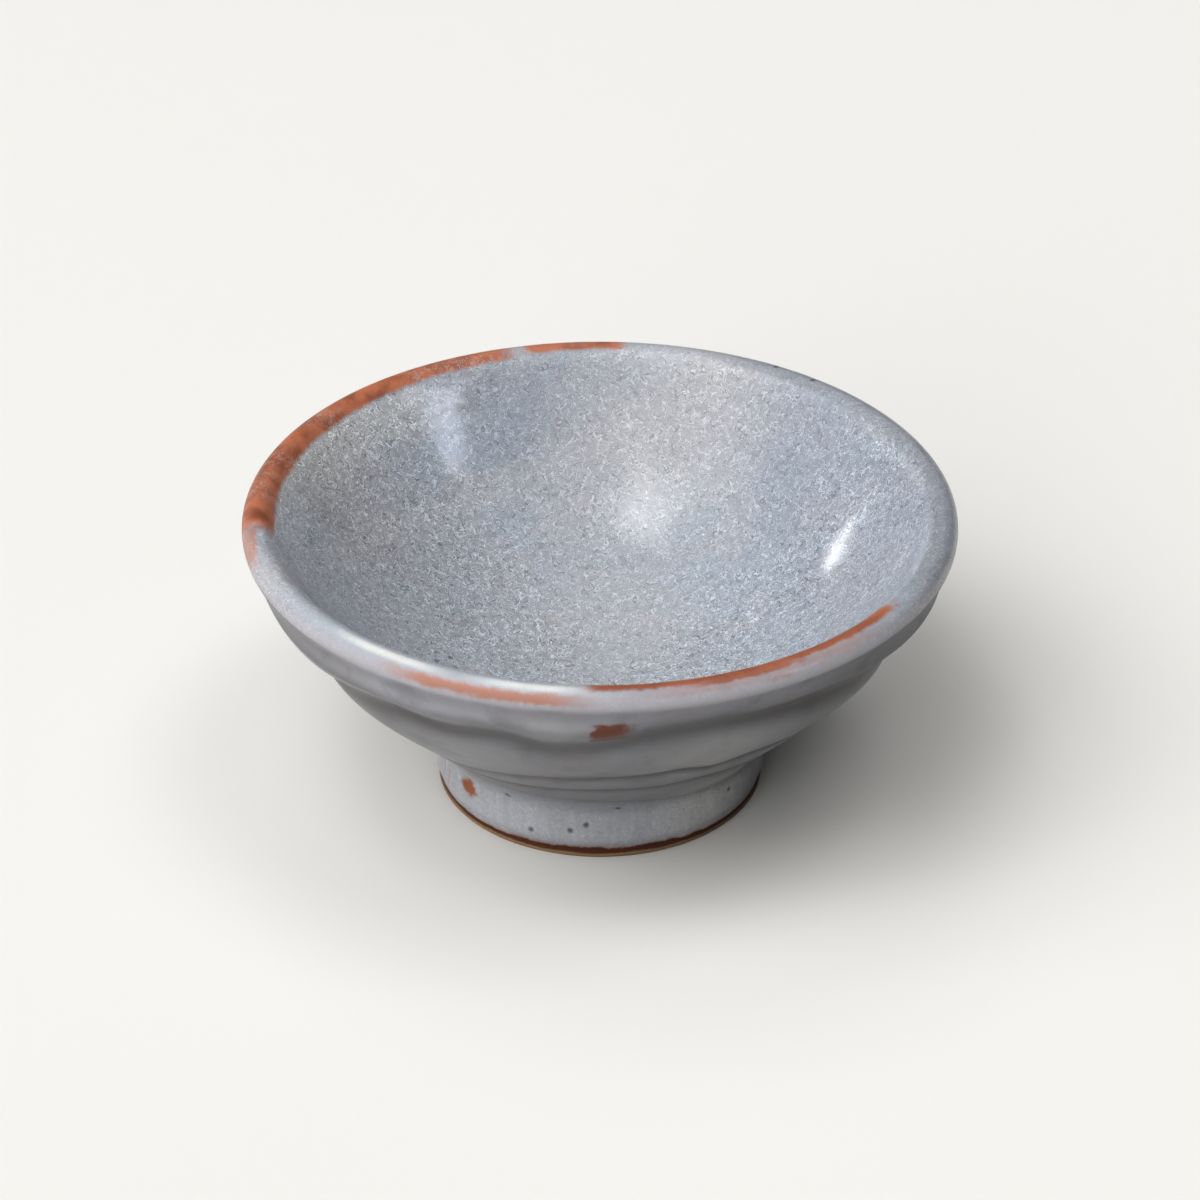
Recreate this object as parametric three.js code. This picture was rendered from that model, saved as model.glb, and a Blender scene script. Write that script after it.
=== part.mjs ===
// Footed sake cup: a thrown stoneware bowl luted onto a turned foot ring, glazed inside and out.
// Millimetres, +Z up. The origin is the centre of the foot's contact ring, and the front faces -Y.

import * as THREE from 'three';

// Overall sizes, measured over the glaze
const CUP_DIAMETER = 85;
const CUP_HEIGHT = 37.5;
const LIP_THICKNESS = 3.6;

// Bowl, in clay
const WALL_THICKNESS = 4.2;      // halfway up the wall
const FLOOR_THICKNESS = 4;       // at the middle of the floor
const FLOOR_INSET = 2.5;         // from the joint in to where the floor starts to turn up
const BASE_DROP = 6.1;           // from the joint down to the middle of the round underside
const WALL_BELLY = 1.75;         // how far the wall swells past a straight cone
const BELLY_SKEW = 0.95;         // 1 puts the swelling halfway up the wall, and less puts it lower

// Throwing ridges on the outside of the wall
const RIDGE_DEPTH = 0.6;
const RIDGE_PITCH = 11;
const FIRST_RIDGE = 7.85;        // height of the lowest crest above the joint
const RIDGE_WANDER = 2;          // how far a crest rises and falls on its way round
const RIDGE_FADE = 0.2;          // share of the wall over which the ridges die out at each end

// Foot ring, in clay
const FOOT_DIAMETER = 39.3;
const FOOT_HEIGHT = 11.3;        // table to the edge of the flared collar
const FOOT_SIDE = 6.2;           // height of the straight side below the collar
const FOOT_CHAMFER = 0.6;        // turned off the outer edge so that it does not chip
const COLLAR_FLARE = 3.5;        // how far the collar spreads past the straight side
const COLLAR_COVE = 1.7;         // height of the hollow where the collar leaves the straight side
const CONTACT_WIDTH = 4.7;       // flat ring that stands on the table
const RECESS_DRAFT = 0.8;        // how far the recess narrows towards its ceiling

// Slip that lutes the foot to the bowl
const SLIP_THICKNESS = 0.6;
const BEAD_HEIGHT = 2;           // where the slip squeezes out round the joint
const BEAD_SPREAD = 2.2;         // how far the bowl overhangs the collar across the bead
const BEAD_BULGE = 0.35;
const BEAD_DEPTH = 4;            // how far in from the joint the slip starts to thicken

// Glaze coats
const GLAZE_THICKNESS = 0.45;
const GLAZE_EDGE = 0.15;         // thickness left where a coat runs out
const BARE_FOOT = 2.1;           // height of the unglazed band above the table
const BARE_FOOT_WAVE = 0.25;
const BOND_GAP = 0.1;            // between a coat, the slip and the clay behind them

// Where the two coats end round the lip's edge: 0 is its outer side, 90 its top and 180 its inner side.
const COATS_MEET = { outerEnd: 84, innerEnd: 96 };
// Stretches where the glaze ran thin and left the clay bare, in degrees counter-clockwise from +X.
const BARE_STRETCHES = [
  { from: 86, to: 195, outerEnd: 18, innerEnd: 160 },
  { from: 235, to: 268, outerEnd: 20, innerEnd: 90 },
  { from: 268, to: 325, outerEnd: 90, innerEnd: 160 },
];
const STRETCH_BLEND = 13;        // half the turn over which the end of a coat moves

// Facets
const TURN_STEPS = 40;
const WALL_STEPS = 16;
const INSIDE_STEPS = 12;
const LIP_STEPS = 6;
const SEAT_STEPS = 4;
const COLLAR_STEPS = 5;
const FOOT_STEPS = 3;
const BEAD_STEPS = 3;

// Places worked out from the sizes
const COAT = BOND_GAP + GLAZE_THICKNESS;
const LIP_RADIUS = LIP_THICKNESS / 2 - COAT;
const LIP_CENTRE = new THREE.Vector2(CUP_DIAMETER / 2 - COAT - LIP_RADIUS, CUP_HEIGHT - COAT - LIP_RADIUS);
const FOOT_RADIUS = FOOT_DIAMETER / 2;
const COLLAR_RADIUS = FOOT_RADIUS + COLLAR_FLARE;
const CONTACT_OUTER = FOOT_RADIUS - FOOT_CHAMFER;
const CONTACT_INNER = CONTACT_OUTER - CONTACT_WIDTH;
const RECESS_TOP_RADIUS = CONTACT_INNER - RECESS_DRAFT;
const JOINT = new THREE.Vector2(COLLAR_RADIUS + BEAD_SPREAD, FOOT_HEIGHT + BEAD_HEIGHT + 2 * BOND_GAP);
const WALL_TOP = new THREE.Vector2(LIP_CENTRE.x + LIP_RADIUS, LIP_CENTRE.y);
const BASE_HEIGHT = JOINT.y - BASE_DROP;
const FLOOR_HEIGHT = BASE_HEIGHT + FLOOR_THICKNESS;

const { lerp, smoothstep, degToRad, radToDeg } = THREE.MathUtils;

// Numbers from 0 to 1 in equal steps, both ends included.
function shares(steps) {
  return Array.from({ length: steps + 1 }, (_, step) => step / steps);
}

// Unit vector to the right of the way from one point to another.
function rightOf(from, to) {
  return new THREE.Vector2(to.y - from.y, from.x - to.x).normalize();
}

// Bowl surfaces

// Crests and grooves left by the thrower's fingers, fading out at the joint and under the lip.
function ridge(share, height, turn) {
  const fade = smoothstep(share, 0, RIDGE_FADE) * (1 - smoothstep(share, 1 - RIDGE_FADE, 1));
  const crest = JOINT.y + FIRST_RIDGE - RIDGE_WANDER * Math.cos(2 * turn);
  return RIDGE_DEPTH * fade * Math.cos(2 * Math.PI * (height - crest) / RIDGE_PITCH);
}

// Outer wall without its ridges, at a share of the way up from the joint to the lip: a swollen cone.
function wallBase(share) {
  const swell = WALL_BELLY * Math.sin(Math.PI * share ** BELLY_SKEW);
  return new THREE.Vector2(lerp(JOINT.x, WALL_TOP.x, share) + swell, lerp(JOINT.y, WALL_TOP.y, share));
}

function wallPoints(turn) {
  return shares(WALL_STEPS).map((share) => {
    const point = wallBase(share);
    point.x += ridge(share, point.y, turn);
    return point;
  });
}

// Points round the lip's edge, leaving out the first.
function lipPoints(fromDegrees, toDegrees) {
  return shares(LIP_STEPS).slice(1).map((share) => {
    const angle = degToRad(lerp(fromDegrees, toDegrees, share));
    return new THREE.Vector2(Math.cos(angle), Math.sin(angle)).multiplyScalar(LIP_RADIUS).add(LIP_CENTRE);
  });
}

// Inside of the bowl, from the middle of the floor to the lip. The curve passes through the point that
// lies one wall thickness in from the middle of the outer wall.
function insideCurve() {
  const passing = 0.68;
  const outward = rightOf(wallBase(0.45), wallBase(0.55));
  const wallMiddle = wallBase(0.5).addScaledVector(outward, -WALL_THICKNESS);
  const floorMiddle = new THREE.Vector2(0, FLOOR_HEIGHT);
  const floorEdge = new THREE.Vector2(JOINT.x - FLOOR_INSET, FLOOR_HEIGHT);
  const lipInside = new THREE.Vector2(LIP_CENTRE.x - LIP_RADIUS, LIP_CENTRE.y);
  const wallPull = wallMiddle.clone()
    .addScaledVector(floorMiddle, -((1 - passing) ** 3))
    .addScaledVector(floorEdge, -3 * passing * (1 - passing) ** 2)
    .addScaledVector(lipInside, -(passing ** 3))
    .divideScalar(3 * passing ** 2 * (1 - passing));
  return new THREE.CubicBezierCurve(floorMiddle, floorEdge, wallPull, lipInside);
}

// Round underside of the bowl, which the slip and the foot are shaped to.
function undersidePoint(radius) {
  return new THREE.Vector2(radius, BASE_HEIGHT + BASE_DROP * (radius / JOINT.x) ** 2);
}

// Slip and foot surfaces

function slipTop(radius) {
  return undersidePoint(radius).sub(new THREE.Vector2(0, BOND_GAP));
}

// The slip is an even layer that thickens towards its bead, and stays above the collar's edge.
function slipBottom(radius) {
  const towardsBead = smoothstep(radius, JOINT.x - BEAD_DEPTH, COLLAR_RADIUS);
  const even = slipTop(radius).y - SLIP_THICKNESS;
  return new THREE.Vector2(radius, lerp(even, FOOT_HEIGHT + BOND_GAP, towardsBead));
}

function seatPoint(radius) {
  return slipBottom(radius).sub(new THREE.Vector2(0, BOND_GAP));
}

// Radii of the seat, from the recess out to the collar's edge.
function seatRadii() {
  return shares(SEAT_STEPS).map((share) => lerp(RECESS_TOP_RADIUS, COLLAR_RADIUS, share));
}

// Outside of the collar, from the straight side up to the collar's edge.
function collarPoints() {
  return new THREE.QuadraticBezierCurve(
    new THREE.Vector2(FOOT_RADIUS, FOOT_SIDE),
    new THREE.Vector2(FOOT_RADIUS, FOOT_SIDE + COLLAR_COVE),
    new THREE.Vector2(COLLAR_RADIUS, FOOT_HEIGHT),
  ).getPoints(COLLAR_STEPS);
}

// Rounded outer face of the bead between the collar's edge and the bowl, without its two ends.
function beadPoints() {
  const low = slipBottom(COLLAR_RADIUS);
  const high = slipTop(JOINT.x);
  const outward = rightOf(low, high);
  return shares(BEAD_STEPS).slice(1, -1).map((share) => {
    const bulge = BEAD_BULGE * Math.sin(Math.PI * share);
    return low.clone().lerp(high, share).addScaledVector(outward, bulge);
  });
}

// Sections of the pieces, with radius across and height up, running counter-clockwise

function bowlSection(turn) {
  const ceilingRadii = shares(SEAT_STEPS).map((share) => RECESS_TOP_RADIUS * share);
  const underside = [...ceilingRadii, ...seatRadii().slice(1)].map(undersidePoint);
  const inside = insideCurve().getPoints(INSIDE_STEPS).reverse().slice(1);
  return [...underside, ...wallPoints(turn), ...lipPoints(0, 180), ...inside];
}

function footSection() {
  const contactInner = new THREE.Vector2(CONTACT_INNER, 0);
  const contactOuter = new THREE.Vector2(CONTACT_OUTER, 0);
  const chamferTop = new THREE.Vector2(FOOT_RADIUS, FOOT_CHAMFER);
  const seat = seatRadii().reverse().slice(1).map(seatPoint);
  return [contactInner, contactOuter, chamferTop, ...collarPoints(), ...seat, contactInner];
}

function slipSection() {
  const bottom = seatRadii().map(slipBottom);
  const top = [...seatRadii(), JOINT.x].reverse().map(slipTop);
  return [...bottom, ...beadPoints(), ...top, bottom[0]];
}

// Where each coat ends round the lip's edge, and how bare the lip is there, from 0 to 1.
function coatEnds(turn) {
  const degrees = radToDeg(turn);
  const ends = { ...COATS_MEET, bareness: 0 };
  for (const stretch of BARE_STRETCHES) {
    const entering = smoothstep(degrees, stretch.from - STRETCH_BLEND, stretch.from + STRETCH_BLEND);
    const leaving = smoothstep(degrees, stretch.to - STRETCH_BLEND, stretch.to + STRETCH_BLEND);
    const weight = entering - leaving;
    ends.outerEnd += weight * (stretch.outerEnd - COATS_MEET.outerEnd);
    ends.innerEnd += weight * (stretch.innerEnd - COATS_MEET.innerEnd);
    ends.bareness += weight;
  }
  return ends;
}

// The path moved sideways, to its left where the distance is positive, keeping its corners mitred.
function offsetPath(path, distanceAt) {
  const directions = path.slice(1).map((point, index) => point.clone().sub(path[index]).normalize());
  return path.map((point, index) => {
    const before = directions[Math.max(index - 1, 0)];
    const after = directions[Math.min(index, directions.length - 1)];
    const along = before.clone().add(after).normalize();
    const left = new THREE.Vector2(-along.y, along.x);
    return point.clone().addScaledVector(left, distanceAt(index) / along.dot(after));
  });
}

// How thick a coat is, counted in points of its path from an end where it runs out.
function coatThickness(pointsFromEnd, bareness) {
  const thinning = bareness * (1 - Math.min(pointsFromEnd / 2, 1));
  return lerp(GLAZE_THICKNESS, GLAZE_EDGE, thinning);
}

function outerGlazeSection(turn) {
  const ends = coatEnds(turn);
  const edge = BARE_FOOT + BARE_FOOT_WAVE * Math.sin(3 * turn);
  const foot = shares(FOOT_STEPS).slice(0, -1).map((share) => (
    new THREE.Vector2(FOOT_RADIUS, lerp(edge, FOOT_SIDE, share))
  ));
  const path = [
    ...foot,
    ...collarPoints().slice(0, -1),
    ...beadPoints(),
    ...wallPoints(turn),
    ...lipPoints(0, ends.outerEnd),
  ];
  const last = path.length - 1;
  const surface = offsetPath(path, (index) => {
    const atFoot = coatThickness(index, 1);
    const atLip = coatThickness(last - index, ends.bareness);
    return -BOND_GAP - Math.min(atFoot, atLip);
  });
  const back = offsetPath(path, () => -BOND_GAP).reverse();
  return [...surface, ...back, surface[0]];
}

function innerGlazeSection(turn) {
  const ends = coatEnds(turn);
  const path = [...insideCurve().getPoints(INSIDE_STEPS), ...lipPoints(180, ends.innerEnd)];
  const last = path.length - 1;
  const back = offsetPath(path, () => BOND_GAP);
  const surface = offsetPath(path, (index) => BOND_GAP + coatThickness(last - index, ends.bareness));
  back[0].x = 0;
  surface[0].x = 0;
  return [...back, ...surface.reverse()];
}

// A solid turned about the Z axis, whose section may change on the way round.
function turned(section) {
  const geometry = new THREE.LatheGeometry(section(0), TURN_STEPS);
  const positions = geometry.getAttribute('position');
  for (let column = 0; column <= TURN_STEPS; column++) {
    const turn = 2 * Math.PI * (column % TURN_STEPS) / TURN_STEPS;
    const points = section(turn);
    points.forEach((point, row) => {
      const vertex = column * points.length + row;
      positions.setXYZ(vertex, point.x * Math.cos(turn), point.x * Math.sin(turn), point.y);
    });
  }
  geometry.computeVertexNormals();
  return geometry;
}

// Materials

const CLAY = new THREE.MeshStandardMaterial({ color: 0x9a5f47, roughness: 0.85, metalness: 0 });
const FOOT_CLAY = new THREE.MeshStandardMaterial({ color: 0x71604c, roughness: 0.9, metalness: 0 });
const SLIP = new THREE.MeshStandardMaterial({ color: 0x7a5a48, roughness: 0.9, metalness: 0 });
const INNER_GLAZE = new THREE.MeshStandardMaterial({ color: 0xabb4bb, roughness: 0.4, metalness: 0 });
const OUTER_GLAZE = new THREE.MeshStandardMaterial({ color: 0x9a9aa0, roughness: 0.35, metalness: 0 });

// Assembly

const cup = new THREE.Group();
cup.name = 'sake_cup';

function addPiece(name, section, material) {
  const mesh = new THREE.Mesh(turned(section), material);
  mesh.name = name;
  cup.add(mesh);
}

addPiece('bowl_body', bowlSection, CLAY);
addPiece('foot_ring', footSection, FOOT_CLAY);
addPiece('joint_slip', slipSection, SLIP);
addPiece('inner_glaze', innerGlazeSection, INNER_GLAZE);
addPiece('outer_glaze', outerGlazeSection, OUTER_GLAZE);

export default cup;
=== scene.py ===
"""Footed sake cup in a speckled grey glaze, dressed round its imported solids.

Lengths in the formulas are millimetres, and MM turns them into Blender's metres. Azimuths are degrees
counter-clockwise from +X, seen from above, and the front of the cup faces -Y.
"""

import math

import bpy
import numpy as np
from bpy.props import FloatProperty, FloatVectorProperty, PointerProperty
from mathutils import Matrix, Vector


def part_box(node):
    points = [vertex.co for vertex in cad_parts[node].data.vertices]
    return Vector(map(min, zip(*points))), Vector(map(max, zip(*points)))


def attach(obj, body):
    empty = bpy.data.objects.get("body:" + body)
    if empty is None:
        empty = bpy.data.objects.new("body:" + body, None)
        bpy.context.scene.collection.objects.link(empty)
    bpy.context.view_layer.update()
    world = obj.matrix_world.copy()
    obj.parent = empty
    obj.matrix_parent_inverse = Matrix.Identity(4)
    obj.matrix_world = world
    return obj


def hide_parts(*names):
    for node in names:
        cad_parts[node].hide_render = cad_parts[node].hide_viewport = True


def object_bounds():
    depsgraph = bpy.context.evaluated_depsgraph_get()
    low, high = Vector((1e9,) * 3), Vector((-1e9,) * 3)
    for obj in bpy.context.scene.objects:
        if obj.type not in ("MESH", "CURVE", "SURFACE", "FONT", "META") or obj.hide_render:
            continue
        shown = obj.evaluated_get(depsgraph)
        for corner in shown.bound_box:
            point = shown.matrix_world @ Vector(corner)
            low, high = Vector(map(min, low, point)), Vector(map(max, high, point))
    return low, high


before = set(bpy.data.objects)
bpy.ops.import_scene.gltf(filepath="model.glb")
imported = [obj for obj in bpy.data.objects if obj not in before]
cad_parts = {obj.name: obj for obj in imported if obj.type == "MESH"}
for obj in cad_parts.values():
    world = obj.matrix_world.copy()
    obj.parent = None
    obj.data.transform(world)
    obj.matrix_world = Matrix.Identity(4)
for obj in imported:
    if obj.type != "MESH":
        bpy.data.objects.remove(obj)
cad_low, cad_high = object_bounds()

bl_info = {
    "name": "Sake cup",
    "version": (1, 0, 0),
    "blender": (4, 5, 0),
    "location": "3D View > Sidebar > Sake Cup",
    "description": "Models a footed sake cup in a speckled grey glaze",
    "category": "Object",
}

MM = 0.001


def linear(red, green, blue):
    """A colour given as 0 to 255 display values, as the four linear values that Blender takes."""
    channels = [value / 255 for value in (red, green, blue)]
    return [c / 12.92 if c <= 0.04045 else ((c + 0.055) / 1.055) ** 2.4 for c in channels] + [1.0]


def length(name, description, default):
    """A property that holds a length in metres."""
    return FloatProperty(
        name=name, description=description, default=default, min=0, unit="LENGTH", precision=5
    )


def colour(name, description, default):
    """A property that holds a colour."""
    return FloatVectorProperty(
        name=name, description=description, default=default, size=4, min=0, max=1, subtype="COLOR"
    )


def fraction(name, description, default):
    """A property that holds a number from 0 to 1."""
    return FloatProperty(
        name=name, description=description, default=default, min=0, max=1, subtype="FACTOR"
    )


FOOT_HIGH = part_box("foot_ring")[1]
BOWL_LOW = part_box("bowl_body")[0]
SLIP_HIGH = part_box("joint_slip")[1]


# Settings


class CupSizes(bpy.types.PropertyGroup):
    """Sizes of the cup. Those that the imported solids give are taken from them."""

    cup_radius: length("Cup radius", "Over the glaze at the lip", -cad_low.x)
    cup_height: length("Cup height", "From the table to the top of the lip", cad_high.z)
    lip_thickness: length("Lip thickness", "Over the glaze", 3.6 * MM)
    collar_radius: length("Collar radius", "Edge of the foot's flared collar, in clay", FOOT_HIGH.x)
    foot_height: length("Foot height", "From the table to the edge of the collar", FOOT_HIGH.z)
    foot_radius: length("Foot radius", "Straight side of the foot, in clay", 19.65 * MM)
    joint_radius: length("Joint radius", "Where the bowl's wall starts, in clay", SLIP_HIGH.x)
    joint_height: length("Joint height", "Where the bowl's wall starts", SLIP_HIGH.z)
    base_height: length("Base height", "Middle of the bowl's underside", BOWL_LOW.z)
    floor_thickness: length("Floor thickness", "Clay at the middle of the floor", 4 * MM)
    wall_thickness: length("Wall thickness", "Clay halfway up the wall", 4.2 * MM)
    glaze_thickness: length("Glaze thickness", "Coat of glaze, with the bond behind it", 0.55 * MM)


class CupColours(bpy.types.PropertyGroup):
    """Colours of the glaze, the clay and the slip."""

    glaze_blue: colour("Glaze blue", "Main tone of the glaze", linear(165, 173, 183))
    # Blue of thick glaze, also painted shade on walls inside the bowl.
    glaze_deep_and_shade: colour("Glaze deep", "Blue tone where the glaze lies thick", linear(151, 158, 169))
    # Milky flush, also painted light on shaded walls inside the bowl.
    glaze_flush_and_light: colour("Glaze flush", "Milky flush inside the bowl", linear(182, 181, 184))
    glaze_rose: colour("Glaze rose", "Faint warm tone in the glaze", linear(175, 172, 176))
    # Pale glaze, also the painted highlight along the front of the lip and painted light on the outer
    # wall.
    glaze_pale_and_highlight: colour("Glaze pale", "Thick pale glaze along the lip", linear(236, 236, 233))
    glaze_lip: colour("Glaze lip", "Grey glaze along the right of the lip", linear(145, 149, 157))
    glaze_wall: colour("Glaze wall", "Lavender tone of the outer wall", linear(169, 167, 171))
    glaze_upper: colour("Glaze upper", "Outer wall just under the lip", linear(184, 182, 188))
    glaze_foot: colour("Glaze foot", "Paler tone of the foot", linear(190, 192, 198))
    # Dark glaze: thinner glaze with painted shade in the grooves, painted shade on the outer wall, and
    # smoky clouds.
    glaze_groove_and_shade: colour("Glaze groove", "Thin glaze along the grooves", linear(102, 99, 100))
    pit: colour("Pit", "Burst bubbles and specks of iron", linear(58, 58, 62))
    iron_orange: colour("Iron orange", "Clay flashing through thin glaze", linear(190, 114, 82))
    iron_dark: colour("Iron dark", "Darkest of the flashed clay", linear(150, 88, 64))
    iron_pale: colour("Iron pale", "Flashed clay under a thin film of glaze", linear(180, 117, 91))
    patch_brown: colour("Patch brown", "Clay where the glaze crawled off the wall", linear(128, 72, 50))
    foot_brown: colour("Foot brown", "Burnt line under the glaze's lower edge", linear(86, 48, 32))
    foot_tan: colour("Foot tan", "Bare clay of the foot", linear(158, 128, 96))
    recess_clay: colour("Recess clay", "Bare clay under the bowl", linear(150, 108, 84))
    slip: colour("Slip", "Slip that lutes the foot to the bowl", linear(124, 92, 74))


class StageSettings(bpy.types.PropertyGroup):
    """Floor, lamps and camera."""

    floor: colour("Floor", "Pale floor", linear(239, 238, 234))
    floor_bounce: colour("Floor bounce", "Floor as it lights the cup from below", linear(137, 137, 135))
    sky_share: fraction("Sky", "Even light from all round", 0.015)
    camera_distance: length("Camera distance", "From the middle of the cup", 466.4 * MM)
    camera_elevation: FloatProperty(
        name="Camera elevation",
        description="Above the horizon",
        default=math.radians(31.4),
        subtype="ANGLE",
    )
    camera_lens: FloatProperty(name="Lens", description="Focal length", default=116.06, unit="CAMERA")
    camera_target: length("Camera target", "Height that the camera looks at", 23.91 * MM)


# Curves and surfaces, in millimetres


def ease(low, high, value):
    """0 below low, 1 above high, and an even S-curve between them."""
    share = np.clip((value - low) / (high - low), 0, 1)
    return share * share * (3 - 2 * share)


def hump(value, middle, width):
    """A round hill that is 1 at its middle and dies out at about twice its width."""
    return np.exp(-((value - middle) / width) ** 2)


def bezier(points, steps):
    """Points along a Bezier curve of any degree, both ends included."""
    share = np.linspace(0, 1, steps + 1)[:, None]
    degree = len(points) - 1
    curve = 0
    for power, point in enumerate(points):
        weight = math.comb(degree, power) * share ** power * (1 - share) ** (degree - power)
        curve = curve + weight * np.array(point, float)
    return curve


def beside(path, distance):
    """The path moved to the right of its run by a distance, which may differ from point to point."""
    along = np.gradient(path, axis=0)
    right = np.stack([along[:, 1], -along[:, 0]], axis=1)
    right /= np.linalg.norm(right, axis=1)[:, None]
    return path + right * np.broadcast_to(distance, len(path))[:, None]


def place_at(azimuth, radius, height):
    """A point from its azimuth, radius and height."""
    turn = math.radians(azimuth)
    return (radius * math.cos(turn), radius * math.sin(turn), height)


def respaced(path, spacing):
    """The same path with points at about an even spacing."""
    run = np.concatenate([[0], np.cumsum(np.linalg.norm(np.diff(path, axis=0), axis=1))])
    even = np.linspace(0, run[-1], max(2, round(run[-1] / spacing) + 1))
    return np.stack([np.interp(even, run, path[:, axis]) for axis in (0, 1)], axis=1)


class CupShape:
    """Sections of the cup, as points with radius across and height up.

    Rolls are angles in degrees, and a spacing is the distance between the points of a section. The
    belly's skew, the inside's passing and the thinnest coat are shares of 1.
    """

    GLAZE_SPACING = 0.48
    WALL_SPACING = 0.4
    FOOT_SPACING = 0.3
    BACK_SPACING = 1.6
    WALL_BELLY = 1.75
    BELLY_SKEW = 0.95
    FLOOR_INSET = 2.5
    INSIDE_PASSING = 0.68
    FOOT_SIDE = 6.2
    COLLAR_COVE = 1.7
    GLAZE_LOW_EDGE = 1.05
    GLAZE_TAPER = 1.6
    THINNEST_COAT = 0.2
    FOOT_SPREAD = 0.3
    FOOT_EDGE = 1.0
    CONTACT_EDGE = 0.6
    CONTACT_WIDTH = 4.7
    RECESS_DRAFT = 0.8
    INNER_ROLL = 130
    OUTER_ROLL = -25
    ROLL_BLEND = 2.6

    def __init__(self, sizes):
        self.coat = sizes.glaze_thickness / MM
        self.lip_radius = sizes.lip_thickness / MM / 2
        self.lip_centre = np.array([
            sizes.cup_radius / MM - self.lip_radius,
            sizes.cup_height / MM - self.lip_radius,
        ])
        self.joint = np.array([sizes.joint_radius, sizes.joint_height]) / MM
        self.wall_top = self.lip_centre + [self.lip_radius - self.coat, 0]
        self.foot_radius = sizes.foot_radius / MM
        self.collar_edge = np.array([sizes.collar_radius, sizes.foot_height]) / MM
        self.base_height = sizes.base_height / MM
        self.floor_height = self.base_height + sizes.floor_thickness / MM
        self.wall_thickness = sizes.wall_thickness / MM

    def wall(self, share):
        """Outer wall in clay, a swollen cone, at shares of the way from the joint to the lip."""
        share = np.atleast_1d(share)[:, None]
        cone = self.joint + (self.wall_top - self.joint) * share
        swell = self.WALL_BELLY * np.sin(np.pi * share ** self.BELLY_SKEW)
        return cone + swell * [1, 0]

    def inside(self, steps):
        """Inside of the bowl in clay, from the middle of the floor to the lip."""
        middle = self.wall(0.5)[0]
        along = (self.wall(0.55) - self.wall(0.45))[0]
        away = np.array([along[1], -along[0]]) / np.linalg.norm(along)
        passed = middle - away * self.wall_thickness
        floor_middle = np.array([0, self.floor_height])
        floor_edge = np.array([self.joint[0] - self.FLOOR_INSET, self.floor_height])
        lip_inside = self.lip_centre - [self.lip_radius - self.coat, 0]
        share = self.INSIDE_PASSING
        pull = (
            passed
            - (1 - share) ** 3 * floor_middle
            - 3 * share * (1 - share) ** 2 * floor_edge
            - share ** 3 * lip_inside
        ) / (3 * share ** 2 * (1 - share))
        return bezier([floor_middle, floor_edge, pull, lip_inside], steps)

    def lip(self, angles, depth=0.0):
        """Round the lip over the glaze: 0 is its outer side, 90 its top and 180 its inner side."""
        turns = np.radians(angles)
        reach = np.broadcast_to(self.lip_radius - depth, turns.shape)
        return self.lip_centre + reach[:, None] * np.stack([np.cos(turns), np.sin(turns)], axis=1)

    def roll_in(self, wall, angle, way):
        """The wall cut short and led into the lip's roll at an angle; way is 1 anticlockwise."""
        kept = wall[wall[:, 1] < self.lip_centre[1] - self.ROLL_BLEND]
        turn = math.radians(angle)
        meets = self.lip([angle])[0]
        along_roll = way * np.array([-math.sin(turn), math.cos(turn)])
        along_wall = kept[-1] - kept[-2]
        along_wall /= np.linalg.norm(along_wall)
        reach = np.linalg.norm(meets - kept[-1]) / 3
        join = bezier([kept[-1], kept[-1] + along_wall * reach, meets - along_roll * reach, meets], 10)
        return np.concatenate([kept, join[1:]])

    def inner_surface(self):
        """Glazed inside, from the middle of the floor to the lip's roll."""
        surface = beside(respaced(self.inside(200), self.GLAZE_SPACING), -self.coat)
        surface[0, 0] = 0
        return self.roll_in(surface, self.INNER_ROLL, -1)

    def outer_surface(self):
        """Glazed outside, from the glaze's lower edge, where the coat thins out, to the lip's roll."""
        clay = self.outside()
        full = ease(self.GLAZE_LOW_EDGE, self.GLAZE_LOW_EDGE + self.GLAZE_TAPER, clay[:, 1])
        depth = self.THINNEST_COAT + (1 - self.THINNEST_COAT) * full
        return self.roll_in(beside(clay, self.coat * depth), self.OUTER_ROLL, 1)

    def on_outside(self, azimuth, height):
        """A point of the glazed outside, without its relief."""
        surface = self.outer_surface()
        return place_at(azimuth, float(np.interp(height, surface[:, 1], surface[:, 0])), height)

    def underside(self, radius):
        """Height of the bowl's round underside."""
        return self.base_height + (self.joint[1] - self.base_height) * (radius / self.joint[0]) ** 2

    def outside(self):
        """Foot, collar, bead and wall in clay, from the glaze's lower edge to just under the lip."""
        low_edge = [[self.foot_radius, self.GLAZE_LOW_EDGE]]
        wall = self.wall(np.linspace(0, 1, 90))
        return respaced(np.concatenate([low_edge, self.collar(24), wall]), self.WALL_SPACING)

    def collar(self, steps):
        """Flared collar in clay, from the top of the foot's straight side to the collar's edge."""
        side = np.array([self.foot_radius, self.FOOT_SIDE])
        return bezier([side, side + [0, self.COLLAR_COVE], self.collar_edge], steps)

    def contact_inner(self):
        """Inner radius of the face that the cup stands on."""
        return self.foot_radius - self.CONTACT_EDGE - self.CONTACT_WIDTH

    def recess_top(self):
        """Radius of the recess where it meets the bowl."""
        return self.contact_inner() - self.RECESS_DRAFT


# Relief of the thrown wall, in millimetres

GROOVE_ATTRIBUTE = "groove"
# How much wider the darkened glaze, thinner glaze with painted shade, is than the groove under it.
GROOVE_SHADE_SPREAD = 1.1
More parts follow.
